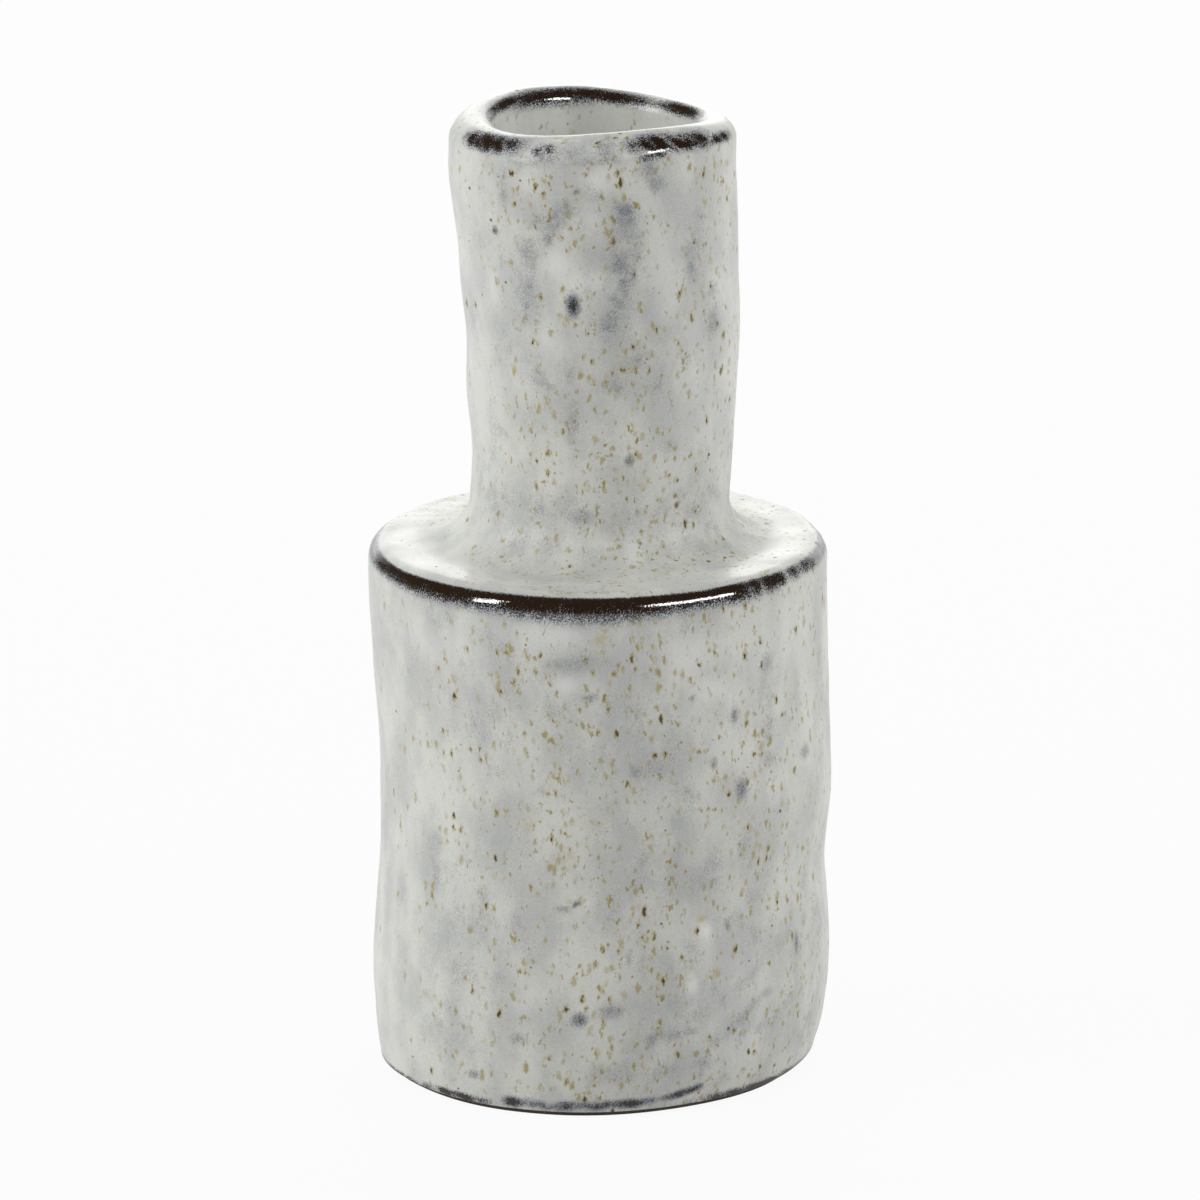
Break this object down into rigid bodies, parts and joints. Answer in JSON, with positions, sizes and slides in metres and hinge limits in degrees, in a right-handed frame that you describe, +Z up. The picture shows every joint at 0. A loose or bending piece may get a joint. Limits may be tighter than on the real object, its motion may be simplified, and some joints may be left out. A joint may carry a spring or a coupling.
{
  "type": "bottle vase",
  "caption": "Hand-built stoneware bottle vase: straight-sided body, flat shoulder and tall open neck, glazed inside and out, to hold water and flower stems.",
  "frame": {"origin": "on the flat foot, at the middle of the body", "axes": "+Z up along the neck, -Y towards the viewer of the picture"},
  "size_m": [0.0708, 0.0708, 0.15],
  "materials": {
    "stoneware": "bare dark iron-bearing stoneware, matt",
    "dipped_glaze": "glossy pale grey-white glaze with blue-grey clouds and rust specks, breaking dark on edges",
    "liner_glaze": "glossy pale grey-white glaze with rust specks"
  },
  "bodies": {
    "root": {"base_slab": "stoneware", "body_wall": "stoneware", "shoulder_slab": "stoneware", "neck_wall": "stoneware", "neck_root_coil": "stoneware", "lip_roll": "stoneware", "base_seam_coil": "stoneware", "shoulder_seam_coil": "stoneware", "outer_glaze": "dipped_glaze", "liner_glaze": "liner_glaze"}
  },
  "joints": []
}
